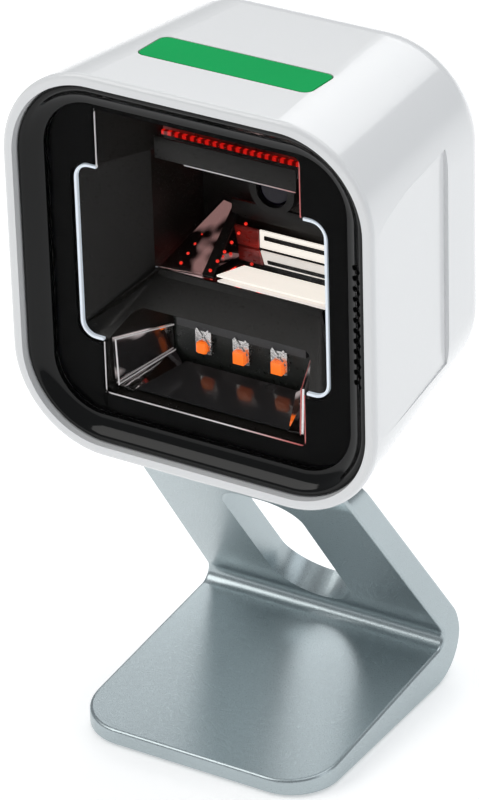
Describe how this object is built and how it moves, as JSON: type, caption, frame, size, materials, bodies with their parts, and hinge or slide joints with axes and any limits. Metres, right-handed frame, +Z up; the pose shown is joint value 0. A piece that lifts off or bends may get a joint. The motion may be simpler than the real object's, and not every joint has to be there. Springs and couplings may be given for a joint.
{
  "type": "presentation barcode scanner",
  "caption": "Hands-free counter barcode scanner: a square windowed head on a tilting magnetic shoe and a bent cast-metal stand with a cable slot.",
  "frame": {"origin": "centre of the overall box's underside, on the counter", "axes": "+Z up, -Y the side that the window faces, +X to the right of someone looking at the scanner's back from the window side"},
  "size_m": [0.0808, 0.0592, 0.1434],
  "materials": {
    "cast_stand": "satin metallic silver paint on a zinc casting",
    "pad_rubber": "matte",
    "steel": "bright zinc",
    "magnet_nickel": "nickel plate",
    "dark_plastic": "fine matte",
    "grey_plastic": "satin",
    "white_shell": "polished moulding",
    "black_gloss": "piano gloss",
    "window_glass": "clear, slightly smoky",
    "gasket_rubber": "matte",
    "pipe_clear": "frosted light guide",
    "diffuser_white": "backlit diffuser sheet",
    "mirror": "front-surface mirror",
    "reflector_chrome": "vacuum metallised",
    "circuit_board": "solder mask",
    "led_metal": "bright",
    "led_amber": "moulded lens",
    "bar_red": "tinted diffuser",
    "lens_glass": "coated",
    "key_green": "translucent moulding",
    "led_green": "clear lens"
  },
  "bodies": {
    "stand": {"stand_frame": "cast_stand", "base_pad": "pad_rubber", "hinge_pin": "steel", "pin_clip": "steel"},
    "shoe": {"tilt_shoe": "dark_plastic", "shoe_magnet": "magnet_nickel", "friction_washers": "steel"},
    "key": {"status_key": "key_green"},
    "head": {"front_shell": "white_shell", "rear_cover": "white_shell", "cover_screws": "steel", "strike_plate": "steel", "strike_screw": "steel", "bezel_ring": "black_gloss", "window_pane": "window_glass", "window_mask": "black_gloss", "window_gasket": "gasket_rubber", "light_pipes": "pipe_clear", "optics_chassis": "dark_plastic", "fold_mirror": "mirror", "side_reflector_left": "reflector_chrome", "side_reflector_right": "reflector_chrome", "led_board": "circuit_board", "led_packages": "led_metal", "led_domes": "led_amber", "led_cover": "grey_plastic", "diffuser_panel": "diffuser_white", "red_leds": "bar_red", "light_bar": "bar_red", "lens_barrel": "dark_plastic", "camera_lens": "lens_glass", "sensor_board": "circuit_board", "main_board": "circuit_board", "board_posts": "steel", "cable_socket": "grey_plastic", "speaker": "dark_plastic", "key_board": "circuit_board", "key_switch": "grey_plastic", "indicator_leds": "led_green"}
  },
  "joints": [
    {"name": "head_tilt", "type": "hinge", "parent": "stand", "child": "shoe", "pos_m": [0, 0.004, 0.057], "axis": [1, 0, 0], "range_deg": [-20, 10]},
    {"name": "head_lift", "type": "slide", "parent": "shoe", "child": "head", "axis": [0, 0, 1], "range_m": [0, 0.03]},
    {"name": "status_key_press", "type": "slide", "parent": "head", "child": "key", "axis": [0, 0, -1], "range_m": [0, 0.0006], "stiffness_N_per_m": 400, "springref_m": -0.001}
  ]
}
